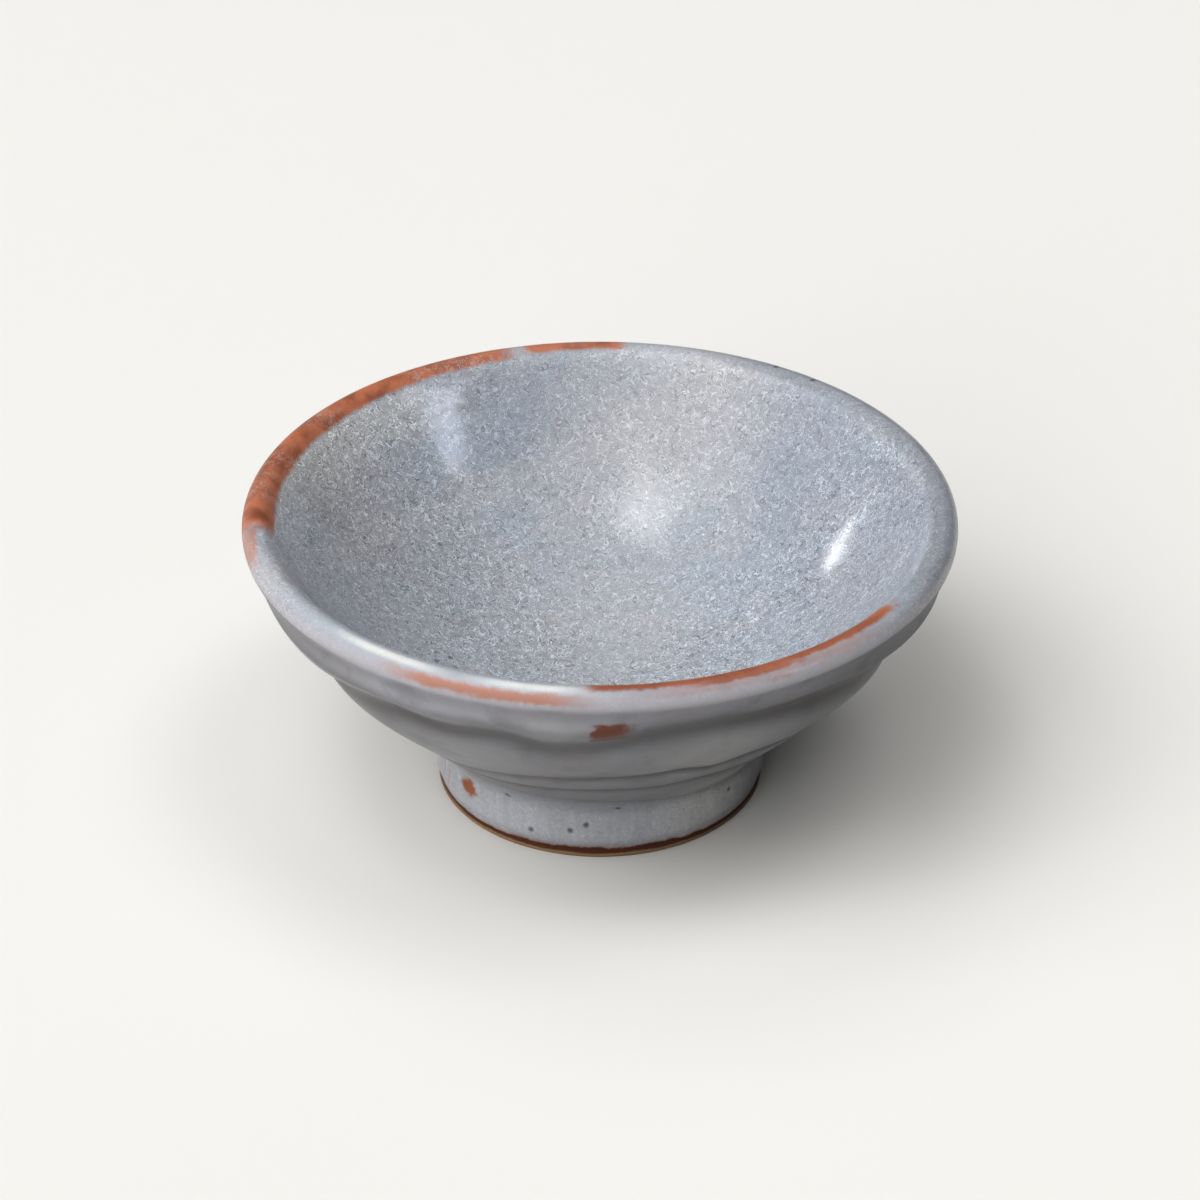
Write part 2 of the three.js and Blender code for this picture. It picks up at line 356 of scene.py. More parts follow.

# Grooves that fingers and tools left round the cup: how deep and how wide they are, how dark they leave
# the glaze with thinner glaze and painted shade, and their line as azimuths and heights.
FINGER_GROOVE = {
    "depth": 0.8, "width": 1.9, "thin": 1.1,
    "line": [
        (-180, 24.4), (-160, 24.4), (-145, 25.3), (-133, 27.2), (-126, 28.0), (-119, 27.4),
        (-115, 27.6), (-110, 28.4), (-105.5, 28.8), (-103, 28.2), (-100.5, 27.4), (-97, 27.0),
        (-91, 27.6), (-85, 29.2), (-80, 30.5), (-70, 30.8), (-60, 30.2), (-50, 29.8), (-35, 27.9),
        (-15, 25.4), (0, 24.5), (40, 26.0), (80, 28.2), (110, 27.0), (145, 25.2),
    ],
}
BULGE_CREASE = {
    "depth": 0.55, "width": 0.8, "thin": 1.0,
    "line": [
        (-180, 17.0), (-150, 16.0), (-122, 15.6), (-113, 17.1), (-103, 18.5), (-90, 19.4), (-80, 19.6),
        (-73, 20.2), (-66, 18.6), (-60, 20.0), (-50, 19.6), (-20, 18.5), (30, 17.6), (80, 18.6),
        (130, 17.2),
    ],
}
TURNED_LINE = {
    "depth": 0.4, "width": 0.65, "thin": 1.0,
    "line": [
        (-180, 13.4), (-117, 13.2), (-105, 14.1), (-90, 14.8), (-75, 14.6), (-68, 15.2), (-40, 14.0),
        (60, 13.6),
    ],
}
FOOT_CREASE = {
    "depth": 0.25, "width": 0.7, "thin": 0.4,
    "line": [
        (-180, 9.0), (-130, 10.4), (-115, 9.9), (-100, 10.2), (-84, 9.6), (-62, 7.8), (-48, 7.0),
        (-36, 6.4), (-20, 5.8), (20, 7.0), (90, 9.5), (140, 9.2),
    ],
}
GROOVES = (FINGER_GROOVE, BULGE_CREASE, TURNED_LINE, FOOT_CREASE)
# How much a groove's depth swings on the way round, and how many times.
GROOVE_SWING = 0.25
GROOVE_SWINGS = 3
# Swell above the finger groove: how far out, how far above it and how wide. Then the swell below it: how
# far out, and its width as a share of the way down to the crease.
UPPER_BULGE = 0.85
UPPER_BULGE_RISE = 4.6
UPPER_BULGE_WIDTH = 3.4
LOWER_BULGE = 0.6
LOWER_BULGE_SHARE = 0.36
# How far under the middle of the lip's roll the relief starts to fade, and where it has gone.
RELIEF_FADES = 4.5
RELIEF_ENDS = 0.8
# Points round the cup at which a line is worked out, how many of them round off a bend, and how many
# overlap at the ends.
LINE_POINTS = 721
BEND_POINTS = 19
LINE_OVERLAP = 60


def round_line(line, azimuth):
    """A height that changes smoothly with azimuth, through the points of a line."""
    turns = np.array([point[0] for point in line], float)
    heights = np.array([point[1] for point in line], float)
    fine = np.linspace(-180, 180, LINE_POINTS)
    rough = np.interp(fine, turns, heights, period=360)
    kernel = np.hanning(BEND_POINTS)
    kernel /= kernel.sum()
    wrapped = np.concatenate([rough[-LINE_OVERLAP - 1:-1], rough, rough[1:LINE_OVERLAP + 1]])
    smooth = np.convolve(wrapped, kernel, mode="same")[LINE_OVERLAP:-LINE_OVERLAP]
    return np.interp(azimuth, fine, smooth)


def in_groove(groove, azimuth, height, spread):
    """How deep in a groove a place lies: about 1 along its middle and 0 beside it."""
    middle = round_line(groove["line"], azimuth)
    start = groove["width"] * 5
    strength = 1 + GROOVE_SWING * np.sin(np.radians(GROOVE_SWINGS * azimuth) + start)
    return strength * hump(height, middle, groove["width"] * spread)


def wall_relief(azimuth, height, shape):
    """How far the outside stands out past its plain form."""
    finger = round_line(FINGER_GROOVE["line"], azimuth)
    crease = round_line(BULGE_CREASE["line"], azimuth)
    relief = UPPER_BULGE * hump(height, finger + UPPER_BULGE_RISE, UPPER_BULGE_WIDTH)
    lower_width = (finger - crease) * LOWER_BULGE_SHARE
    relief = relief + LOWER_BULGE * hump(height, (finger + crease) / 2, lower_width)
    for groove in GROOVES:
        relief = relief - groove["depth"] * in_groove(groove, azimuth, height, 1.0)
    lip_height = shape.lip_centre[1]
    return relief * (1 - ease(lip_height - RELIEF_FADES, lip_height - RELIEF_ENDS, height))


# Turned meshes

# Steps round the cup's axis, the distance within which points are merged, the radius within which a
# point counts as on the axis, and the angle of a sharp edge.
CLAY_STEPS = 240
FOOT_STEPS = 320
GLAZE_STEPS = 480
MERGE_DISTANCE = 0.002
ON_AXIS = 1e-6
SHARP_ANGLE = 60


def turned(name, section, steps):
    """A closed mesh made by extruding a vertex along a section and turning it about the cup's axis."""
    bpy.ops.object.select_all(action="DESELECT")
    bpy.ops.mesh.primitive_plane_add(size=MM, location=(0, 0, 0))
    piece = bpy.context.object
    piece.name = name
    piece.data.name = name
    bpy.ops.object.mode_set(mode="EDIT")
    bpy.ops.mesh.select_all(action="SELECT")
    bpy.ops.mesh.merge(type="CENTER")
    places = [Vector((radius, 0, height)) * MM for radius, height in section]
    bpy.ops.transform.translate(value=places[0])
    for before, after in zip(places, places[1:]):
        bpy.ops.mesh.extrude_region_move(TRANSFORM_OT_translate={"value": after - before})
    bpy.ops.object.mode_set(mode="OBJECT")
    lathe = piece.modifiers.new("lathe", "SCREW")
    lathe.axis = "Z"
    lathe.angle = math.tau
    lathe.steps = steps
    lathe.render_steps = steps
    bpy.ops.object.modifier_apply(modifier=lathe.name)
    bpy.ops.object.mode_set(mode="EDIT")
    bpy.ops.mesh.select_all(action="SELECT")
    bpy.ops.mesh.remove_doubles(threshold=MERGE_DISTANCE * MM)
    bpy.ops.mesh.normals_make_consistent(inside=False)
    bpy.ops.object.mode_set(mode="OBJECT")
    return piece


def reshape(piece, move):
    """Moves the piece's points by a formula that takes and gives arrays of millimetres."""
    mesh = piece.data
    flat = np.empty(len(mesh.vertices) * 3, np.float32)
    mesh.vertices.foreach_get("co", flat)
    points = flat.reshape(-1, 3).astype(float) / MM
    mesh.vertices.foreach_set("co", (move(points) * MM).astype(np.float32).ravel())
    mesh.update()


def mark_groove_shade(piece):
    """Stores how dark the grooves leave the glaze at each point, as thinner glaze and painted shade, for
    the glaze to read.
    """
    points = np.array([vertex.co for vertex in piece.data.vertices]) / MM
    azimuth = azimuth_of(points)
    depth = np.zeros(len(points))
    for groove in GROOVES:
        found = in_groove(groove, azimuth, points[:, 2], GROOVE_SHADE_SPREAD)
        depth = np.maximum(depth, groove["thin"] * found)
    attribute = piece.data.attributes.new(GROOVE_ATTRIBUTE, "FLOAT", "POINT")
    attribute.data.foreach_set("value", depth.astype(np.float32))


def outward(points, distance):
    """The points moved away from the cup's axis by a distance each."""
    radius = np.hypot(points[:, 0], points[:, 1])
    factor = 1 + np.where(radius > ON_AXIS, distance / np.maximum(radius, ON_AXIS), 0)
    return np.stack([points[:, 0] * factor, points[:, 1] * factor, points[:, 2]], axis=1)


def azimuth_of(points):
    """Azimuths of points, in degrees from -180 to 180."""
    return np.degrees(np.arctan2(points[:, 1], points[:, 0]))


def finish_piece(piece, node, material):
    """Shades the piece, gives it its material and sets it in the frame."""
    bpy.ops.object.select_all(action="DESELECT")
    piece.select_set(True)
    bpy.context.view_layer.objects.active = piece
    bpy.ops.object.shade_smooth_by_angle(angle=math.radians(SHARP_ANGLE))
    piece.data.materials.append(material)
    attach(piece, "root")
    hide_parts(node)


# Materials


class Field:
    """A shader value that takes part in sums like a number. Each sum adds a Math node."""

    def __init__(self, paint, socket):
        self.paint = paint
        self.socket = socket

    def math(self, operation, other=None):
        values = {0: self} if other is None else {0: self, 1: other}
        return self.paint.node("ShaderNodeMath", {"operation": operation}, values)

    def reflected(self, operation, other):
        return self.paint.node("ShaderNodeMath", {"operation": operation}, {0: other, 1: self})

    def __add__(self, other):
        return self.math("ADD", other)

    def __radd__(self, other):
        return self.reflected("ADD", other)

    def __sub__(self, other):
        return self.math("SUBTRACT", other)

    def __rsub__(self, other):
        return self.reflected("SUBTRACT", other)

    def __mul__(self, other):
        return self.math("MULTIPLY", other)

    def __rmul__(self, other):
        return self.reflected("MULTIPLY", other)

    def __abs__(self):
        return self.math("ABSOLUTE")


class Paint:
    """A material under construction, whose pattern follows the piece's own coordinates."""

    def __init__(self, name):
        self.material = bpy.data.materials.new(name)
        self.material.use_nodes = True
        self.tree = self.material.node_tree
        self.shader = self.tree.nodes["Principled BSDF"]
        place = self.node("ShaderNodeTexCoord", output="Object")
        self.place = self.node("ShaderNodeMapping", {}, {"Vector": place, "Scale": (1000, 1000, 1000)})

    def node(self, kind, settings=None, values=None, output=0):
        """Adds a node, sets its settings, and then fills its sockets with values or links."""
        node = self.tree.nodes.new(kind)
        for name, setting in (settings or {}).items():
            setattr(node, name, setting)
        for key, value in (values or {}).items():
            if isinstance(value, Field):
                self.tree.links.new(value.socket, node.inputs[key])
            else:
                node.inputs[key].default_value = value
        return Field(self, node.outputs[output])

    def set(self, **values):
        """Fills the shader's own sockets, with spaces for the underscores in their names."""
        for name, value in values.items():
            socket = self.shader.inputs[name.replace("_", " ")]
            if isinstance(value, Field):
                self.tree.links.new(value.socket, socket)
            else:
                socket.default_value = value

    def mix(self, share, first, second):
        """From one colour to another."""
        return self.node(
            "ShaderNodeMix", {"data_type": "RGBA"}, {0: share, 6: first, 7: second}, output=2
        )

    def tint(self, tone, factor):
        """A colour made lighter or darker by a factor."""
        if not isinstance(tone, Field):
            tone = tone[:3]
        return self.node("ShaderNodeVectorMath", {"operation": "SCALE"}, {0: tone, "Scale": factor})

    def step(self, value, low, high):
        """0 below low, 1 above high, and an even S-curve between them."""
        settings = {"interpolation_type": "SMOOTHSTEP"}
        return self.node("ShaderNodeMapRange", settings, {0: value, 1: low, 2: high})

    def band(self, value, low, high, soft):
        """1 from low to high, with soft ends."""
        started = self.step(value, low - soft, low + soft)
        return started * (1 - self.step(value, high - soft, high + soft))

    def noise(self, size, detail=2.0, roughness=0.5, distortion=0.0, place=None):
        """Noise round 0.5 with lumps of about a size in millimetres."""
        return self.node("ShaderNodeTexNoise", {}, {
            "Vector": place or self.place,
            "Scale": 1 / size,
            "Detail": detail,
            "Roughness": roughness,
            "Distortion": distortion,
        })

    def parts(self):
        """The three coordinates, in millimetres."""
        sockets = {0: self.place}
        return [self.node("ShaderNodeSeparateXYZ", {}, sockets, output=axis) for axis in range(3)]

    def near(self, centre, radius, soft, waver=0.0, wave=None):
        """1 near a point, with an edge that wavers with a noise."""
        sockets = {0: self.place, 1: centre}
        away = self.node("ShaderNodeVectorMath", {"operation": "DISTANCE"}, sockets, output=1)
        if wave is not None:
            away = away + (wave - 0.5) * waver
        return 1 - self.step(away, radius - soft, radius + soft)

    def bump(self, height, distance):
        """Sets the shader's surface relief, where a height of 1 is a distance in millimetres."""
        sockets = {"Strength": 1.0, "Distance": distance * MM, "Height": height}
        self.set(Normal=self.node("ShaderNodeBump", {}, sockets))


# Azimuth at which the glaze's own count of azimuths starts, on a plain stretch of the lip.
SEAM_AZIMUTH = 20

# Stretches of the lip where the clay flashes through: the azimuths where each starts and stops, the
# angle of its inner side at the start and at the stop, the angle of its outer side, how soft its ends are,
# and its strength. Angles are from the lip's top, outward above 0 and inward below it.
LIP_FLASHES = (
    (107, 188, -52, -82, 85, 2.5, 1.0),
    (187, 198, -8, 30, 90, 3.0, 0.7),
    (86, 103.5, -36, -36, 80, 1.5, 0.95),
    (238, 266, 40, 36, 80, 6.0, 0.85),
    (268, 325, -60, -60, 16, 2.0, 1.0),
    (283, 304, -60, -60, 32, 5.0, 0.95),
    (276, 318, 10, 10, 56, 8.0, 0.35),
    (296.5, 301, 46, 46, 66, 1.5, 0.5),
)
# Dark blotch in the flash: azimuth, radius and height.
LIP_BLOTCH = (184, 40.4, 37.4)
# Stretches where pale glaze and a painted highlight lie along the lip and just inside it: azimuths, angles
# and how pale. The two narrow stretches on the front paint the lip's highlight.
PALE_LIPS_AND_HIGHLIGHT = (
    (194, 270, -30, 38, 0.1),
    (226, 243, -2, 28, 0.8),
    (252, 266, -2, 28, 0.75),
    (125, 187, -140, -70, 0.35),
)
# Stretch of grey lip, which runs across the seam.
GREY_LIP = {"from": 330, "to": 68, "inner": -50, "outer": 60, "mix": 0.85}
# Front of the cup, where the glaze lies smoothest.
SMOOTH_FRONT = {"from": 215, "to": 325}
# Sides of the outer wall darkened with painted shade: from, to and how much.
PAINTED_SHADE_SIDES = ((160, 222, 0.3), (303, 375, 0.35))
# Painted shade and painted light on the outer wall and the foot, with some dark and pale glaze clouds
# among
# them: azimuth, height, size and strength.
PAINTED_WALL_SHADE = (
    (-150, 20.5, 9, 0.5), (-141, 25, 9, 0.5), (-79, 30, 4.5, 0.2), (-45, 28.5, 6, 0.3),
    (140, 22, 7, 0.3),
)
PAINTED_WALL_LIGHT = (
    (-68, 24.2, 7, 0.28), (-113, 23, 5, 0.1), (-98, 30.5, 3, 0.12), (60, 20, 8, 0.12),
    (-48, 5, 7, 0.7),
)
# Stretch of the lip where a thin film of glaze makes the flashed clay paler.
PALE_FLASH = {"from": 190, "to": 266}

# Milky flushes inside the bowl, and painted light on walls in shade: azimuth, radius and height of the
# middle, size and strength.
FLUSHES_AND_PAINTED_LIGHT = (
    (69, 35, 32, 11, 0.7), (90, 28, 24, 8, 0.5), (155, 36, 33, 9, 0.8), (168, 26, 21, 13, 0.3),
    (90, 8, 13, 11, 0.5),
)
# Blue pools inside the bowl, and painted shade on the right and back-left walls, in the same order.
BLUE_POOLS_AND_PAINTED_SHADE = (
    (41, 31.5, 27.3, 6, 0.7), (8, 35, 31, 15, 0.7), (45, 37, 33, 8, 0.6), (140, 31, 27, 9, 0.1),
    (108, 34, 30, 7, 0.6),
)
# Plane whose cut through the bowl is a pale diagonal streak: normal and distance.
PALE_STREAK_PLANE = ((0.4645, -0.4937, -0.7351), -37.13)

# Burst bubbles on the outside, by azimuth and height, then those inside and on the lip, by azimuth,
# radius and height.
OUTER_PITS = (
    (-122, 7.4), (-114, 3.1), (-100, 3.9), (-94.4, 4.9), (-84, 7.7), (-93, 23.7), (-82, 26.4),
    (-85.7, 25.0), (-120, 22.2), (-108.5, 21.9), (-75.6, 20.8), (-40, 5.2), (20, 24.0), (75, 6.0),
    (118, 21.5), (165, 12.0),
)
INNER_PITS = ((-169.5, 20.0, 17.5), (-176.4, 18.2, 16.5), (57, 41.0, 37.4), (49, 40.8, 37.5))

# Bare patch where the glaze crawled off the wall: azimuths, heights, and how far its right side fades.
WALL_PATCH = {"from": 268.3, "to": 271.6, "low": 29.7, "high": 33.2, "fade": 4.5}
# Bare patch and streaks on the foot: azimuth and height.
FOOT_PATCH = (-141, 5.3)
FOOT_STREAKS = (-158, 4.2)

# How rough each coat of glaze is and how strongly it mirrors, and how deep its grain is in millimetres.
INSIDE_FINISH = (0.09, 0.5)
OUTSIDE_FINISH = (0.28, 0.1)
GLAZE_RELIEF = 0.06


class Around:
    """Where a point of the glaze lies: azimuth from the seam, height, and place round the lip's roll."""

    def __init__(self, paint, shape):
        x, y, self.height = paint.parts()
        radius = (x * x + y * y).math("SQRT")
        seam = math.radians(SEAM_AZIMUTH)
        along = -1 * (x * math.cos(seam) + y * math.sin(seam))
        across = x * math.sin(seam) - y * math.cos(seam)
        self.azimuth = across.math("ARCTAN2", along) * (180 / math.pi) + (180 + SEAM_AZIMUTH)
        lip_r, lip_z = (float(value) for value in shape.lip_centre)
        out, up = radius - lip_r, self.height - lip_z
        self.lip_angle = out.math("ARCTAN2", up) * (180 / math.pi)
        self.lip_distance = (out * out + up * up).math("SQRT")


def lip_flash(paint, around, ragged):
    """1 where the clay flashes through round the lip."""
    wander = (ragged - 0.5) * 40
    angle = around.lip_angle + wander
    flash = 0
    for start, stop, first, last, outer, ends, strength in LIP_FLASHES:
        turn = paint.band(around.azimuth + wander * 0.1, start, stop, ends)
        sockets = {0: around.azimuth, 1: start, 2: stop, 3: first, 4: last}
        inner = paint.node("ShaderNodeMapRange", {}, sockets)
        edge = paint.step(angle - inner, -10, 12) * (1 - paint.step(angle, outer - 12, outer + 12))
        flash = (turn * edge * strength).math("MAXIMUM", flash)
    return flash


def bare_patch(paint, around, patch, ragged):
    """1 on a patch of bare clay that is sharp on its left and fades out on its right."""
    wander = (ragged - 0.5) * 5
    slant = (around.height - patch["low"]) * 0.25
    turn = around.azimuth - slant + wander
    left = paint.step(turn, patch["from"] - 0.6, patch["from"] + 0.6)
    right = 1 - paint.step(turn, patch["to"], patch["to"] + patch["fade"])
    return left * right * paint.band(around.height + wander * 0.35, patch["low"], patch["high"], 0.35)


def worms(paint, size, width, distortion, level=0.5):
    """Fine curved lines, where a noise of a size crosses a level."""
    return 1 - paint.step(abs(paint.noise(size, detail=0, distortion=distortion) - level), 0.0, width)


def spots(paint, places, radius, soft, waver, wave):
    """1 within a radius of any of the places."""
    found = 0
    for place in places:
        found = paint.near(place, radius, soft, waver, wave).math("MAXIMUM", found)
    return found


def inner_tone(paint, colours, around, clouds):
    """Colours of the inside, with painted light and painted shade on its walls, before its speckle."""
    tone = paint.mix(paint.step(clouds, 0.42, 0.62) * 0.45, colours.glaze_blue, colours.glaze_rose)
    # Milky flushes, and painted light on the shaded walls on the left, front and back-left.
    for azimuth, radius, height, size, strength in FLUSHES_AND_PAINTED_LIGHT:
        flush = paint.near(place_at(azimuth, radius, height), size, size * 0.7, 14, clouds)
        tone = paint.mix(flush * strength, tone, colours.glaze_flush_and_light)
    # Blue pools, and painted shade on the right and back-left walls.
    for azimuth, radius, height, size, strength in BLUE_POOLS_AND_PAINTED_SHADE:
        pool_and_shade = paint.near(place_at(azimuth, radius, height), size, size * 0.7, 8, clouds)
        tone = paint.mix(pool_and_shade * strength, tone, colours.glaze_deep_and_shade)
    normal, distance = PALE_STREAK_PLANE
    beyond = paint.node(
        "ShaderNodeVectorMath", {"operation": "DOT_PRODUCT"}, {0: paint.place, 1: normal}, output=1
    )
    pale_streak = paint.band(beyond - distance + (clouds - 0.5) * 6, -2, 2, 2)
    tone = paint.mix(pale_streak * 0.5, tone, colours.glaze_flush_and_light)
    tone = paint.mix(paint.step(around.lip_angle, 20, 75), tone, colours.glaze_upper)
    beside_lip = 1 - paint.step(around.lip_distance, 3, 8)
    # Pale glaze along the lip, with a painted highlight along its front.
    for start, stop, inner, outer, strength in PALE_LIPS_AND_HIGHLIGHT:
        turn = paint.band(around.azimuth, start, stop, 5)
        pale = turn * paint.band(around.lip_angle, inner, outer, 12) * beside_lip
        tone = paint.mix(pale * strength, tone, colours.glaze_pale_and_highlight)
    turn = 1 - paint.band(around.azimuth, GREY_LIP["to"], GREY_LIP["from"], 10)
    grey = turn * paint.band(around.lip_angle, GREY_LIP["inner"], GREY_LIP["outer"], 12)
    return paint.mix(grey * GREY_LIP["mix"], tone, colours.glaze_lip)


def outer_tone(paint, colours, around, clouds, shape):
    """Colours of the outside, with its painted shade and painted light, before its speckle."""
    tone = paint.mix(paint.step(around.height, 29, 35), colours.glaze_wall, colours.glaze_upper)
    tone = paint.mix(paint.step(clouds, 0.4, 0.65) * 0.25, tone, colours.glaze_blue)
    smoke = paint.step(paint.noise(5, detail=3), 0.5, 0.68) * 0.3
    tone = paint.mix(smoke, tone, colours.glaze_groove_and_shade)
    tone = paint.mix(1 - paint.step(around.height, 7.5, 11), tone, colours.glaze_foot)
    # Painted shade on the left and right sides of the outer wall.
    for start, stop, strength in PAINTED_SHADE_SIDES:
        side = paint.band(around.azimuth, start, stop, 18) * paint.step(around.height, 9, 13)
        tone = paint.mix(side * strength, tone, colours.glaze_groove_and_shade)
    # Painted shade under the upper bulge and along the right, and painted light on the lower bulge and the
    # foot.
    for painted_marks, shade in ((PAINTED_WALL_SHADE, colours.glaze_groove_and_shade), (PAINTED_WALL_LIGHT, colours.glaze_pale_and_highlight)):
        for azimuth, height, size, strength in painted_marks:
            painted_cloud = paint.near(shape.on_outside(azimuth, height), size, size * 0.7, 6, clouds)
            tone = paint.mix(painted_cloud * strength, tone, shade)
    # Grooves darkened with thinner glaze and painted shade.
    thin = paint.node("ShaderNodeAttribute", {"attribute_name": GROOVE_ATTRIBUTE}, output="Fac")
    return paint.mix(thin * 0.9, tone, colours.glaze_groove_and_shade)


def glaze(name, colours, shape, inside):
    """Speckled glaze, with the clay flashing through where it ran thin."""
    paint = Paint(name)
    around = Around(paint, shape)
    clouds = paint.noise(8, detail=3, roughness=0.55)
    mottle = paint.noise(2.6, detail=3, roughness=0.6)
    ragged = paint.noise(1.6, detail=4, roughness=0.65)

    # Fine pale needles with a dark edge beside each, short hairs, and dark cracks between them.
    broken = paint.step(paint.noise(0.8, detail=1), 0.42, 0.55)
    needles = worms(paint, 0.8, 0.07, 1.2, 0.53)
    edges = worms(paint, 0.8, 0.07, 1.2, 0.46)
    hairs = worms(paint, 0.55, 0.08, 1.4) * broken
    cracks = worms(paint, 0.4, 0.15, 1.0)
    speckle = needles * 0.65 - edges * 0.4 + hairs * 0.55 - cracks * 0.2 - 0.05
    smooth = paint.band(around.azimuth, SMOOTH_FRONT["from"], SMOOTH_FRONT["to"], 15)

    flash = lip_flash(paint, around, ragged)
    if inside:
        tone = inner_tone(paint, colours, around, clouds)
        lip = paint.step(around.lip_angle, -70, 10)
        calm = paint.band(around.azimuth, 35, 120, 20) * 0.35
        grain = speckle * (1 - lip * (0.4 + smooth * 0.5)) * (1 - calm)
        pits = spots(paint, [place_at(*pit) for pit in INNER_PITS], 0.3, 0.22, 0.5, ragged)
    else:
        tone = outer_tone(paint, colours, around, clouds, shape)
        drawn = paint.node("ShaderNodeMapping", {}, {"Vector": paint.place, "Scale": (1, 1, 0.12)})
        drips = (paint.noise(0.9, detail=2, place=drawn) - 0.5) * (1 - paint.step(around.height, 8, 11))
        smooth_wall = smooth * paint.step(around.height, 9, 13)
        grain = speckle * (0.26 - smooth_wall * 0.2) + drips * 0.35
        crawled = bare_patch(paint, around, WALL_PATCH, ragged)
        tone = paint.mix(crawled * 0.95, tone, colours.patch_brown)
        patch = paint.near(shape.on_outside(*FOOT_PATCH), 1.3, 0.5, 3.2, ragged)
        flash = flash.math("MAXIMUM", patch)
        streaks = paint.near(shape.on_outside(*FOOT_STREAKS), 2.2, 1.2)
        streaks = streaks * paint.step(paint.noise(0.7, place=drawn), 0.5, 0.6)
        flash = flash.math("MAXIMUM", streaks * 0.4)
        low_edge = around.height + (mottle - 0.5) * 0.9 + (ragged - 0.5) * 0.8
        low_edge = low_edge + 0.45 * (1 - paint.band(around.azimuth, 240, 300, 25))
        flash = flash.math("MAXIMUM", (1 - paint.step(low_edge, 1.25, 2.1)) * 0.6)
        burnt = 1 - paint.step(low_edge, 1.2, 1.55)
        pits = spots(paint, [shape.on_outside(*pit) for pit in OUTER_PITS], 0.32, 0.24, 0.5, ragged)

    flecks = needles * paint.step(clouds, 0.42, 0.58) * paint.band(around.azimuth, 108, 178, 6) * 0.6
    blotch = paint.near(place_at(*LIP_BLOTCH), 1.0, 0.8, 1.2, ragged)
    film = paint.band(around.azimuth, PALE_FLASH["from"], PALE_FLASH["to"], 3)
    orange = paint.step(mottle, 0.35, 0.65) * (1 - smooth * 0.6)
    iron = paint.mix(orange, colours.iron_dark, colours.iron_orange)
    iron = paint.mix(film * paint.step(around.height, 30, 34), iron, colours.iron_pale)
    iron = paint.mix(blotch * 0.7, iron, colours.patch_brown)
    iron = paint.mix(flecks, iron, colours.glaze_flush_and_light)
    tone = paint.tint(tone, 1.0 + grain + (mottle - 0.5) * 0.18)
    tone = paint.mix(flash, tone, iron)
    if not inside:
        tone = paint.mix(burnt, tone, colours.foot_brown)
    tone = paint.mix(pits * 0.75, tone, colours.pit)

    rough, shine = INSIDE_FINISH if inside else OUTSIDE_FINISH
    rolled = paint.step(around.lip_angle, -125, -75)
    paint.set(Base_Color=tone, Roughness=rough + rolled * 0.2 + flash * 0.15, Specular_IOR_Level=shine)
    paint.bump(grain * 0.04 + mottle * 0.05 - pits * 2, GLAZE_RELIEF)
    return paint.material


def bare_clay(name, tone):
    """Unglazed stoneware with fine grit."""
    paint = Paint(name)
    grit = paint.noise(0.7, detail=3, roughness=0.6)
    drift = paint.noise(5, detail=2)
    shade = paint.tint(tone, 0.86 + (grit - 0.5) * 0.3 + (drift - 0.5) * 0.3)
    paint.set(Base_Color=shade, Roughness=0.72 + (grit - 0.5) * 0.2)
    paint.bump(grit, 0.12)
    return paint.material


def foot_clay(colours):
    """Bare clay of the foot, burnt brown just under the glaze."""
    paint = Paint("foot clay")
    _, _, height = paint.parts()
    grit = paint.noise(0.7, detail=3, roughness=0.6)
    wave = paint.noise(6, detail=2)
    burnt = paint.step(height + (wave - 0.5) * 0.3 + (grit - 0.5) * 0.25, 0.4, 0.65)
    tone = paint.mix(burnt, colours.foot_tan, colours.foot_brown)
    paint.set(
        Base_Color=paint.tint(tone, 0.9 + (grit - 0.5) * 0.4),
        Roughness=0.75 - burnt * 0.2,
        Specular_IOR_Level=0.2,
    )
    paint.bump(grit, 0.1)
    return paint.material


# Operators, one for each piece and one for the stage

# Gap that hidden backs keep from the clay, depth of the slip and of its seat on the foot, how far in the
# seat runs, and the rounding under the recess.
BACK_GAP = 0.1
SLIP_DEPTH = 0.7
SEAT_DROP = 0.8
SEAT_RUN = 4
RECESS_ROUND = 0.6
# Where the two coats meet on the lip, how far each runs on under the other, and how deep it dips there.
SEAM_ANGLE = -10
SEAM_OVERLAP = 36
SEAM_DIP = 0.12


class CUP_OT_bowl_body(bpy.types.Operator):
    """Thrown clay bowl under the two coats of glaze"""

    bl_idname = "cup.bowl_body"
    bl_label = "Bowl body"

    def execute(self, context):
        shape = CupShape(context.scene.cup_sizes)
        under = np.linspace(0, shape.joint[0], 26)
        underside = np.stack([under, shape.underside(under)], axis=1)
        wall = shape.wall(np.linspace(0, 1, 40))[1:]
        lip = shape.lip(np.linspace(0, 180, 17), depth=shape.coat)[1:]
        inside = shape.inside(40)[::-1][1:]
        section = np.concatenate([underside, wall, lip, inside])
        piece = turned("thrown_bowl", section, CLAY_STEPS)

        def throw(points):
            radius = np.hypot(points[:, 0], points[:, 1])
            wall_radius = np.interp(points[:, 2], wall[:, 1], wall[:, 0])
            outer = ease(wall_radius - 1.2, wall_radius - 0.4, radius)
            relief = wall_relief(azimuth_of(points), points[:, 2], shape) * outer
            return outward(points, np.minimum(relief, 0))

        reshape(piece, throw)
        material = bare_clay("bowl clay", context.scene.cup_colours.recess_clay)
        finish_piece(piece, "bowl_body", material)
        return {"FINISHED"}


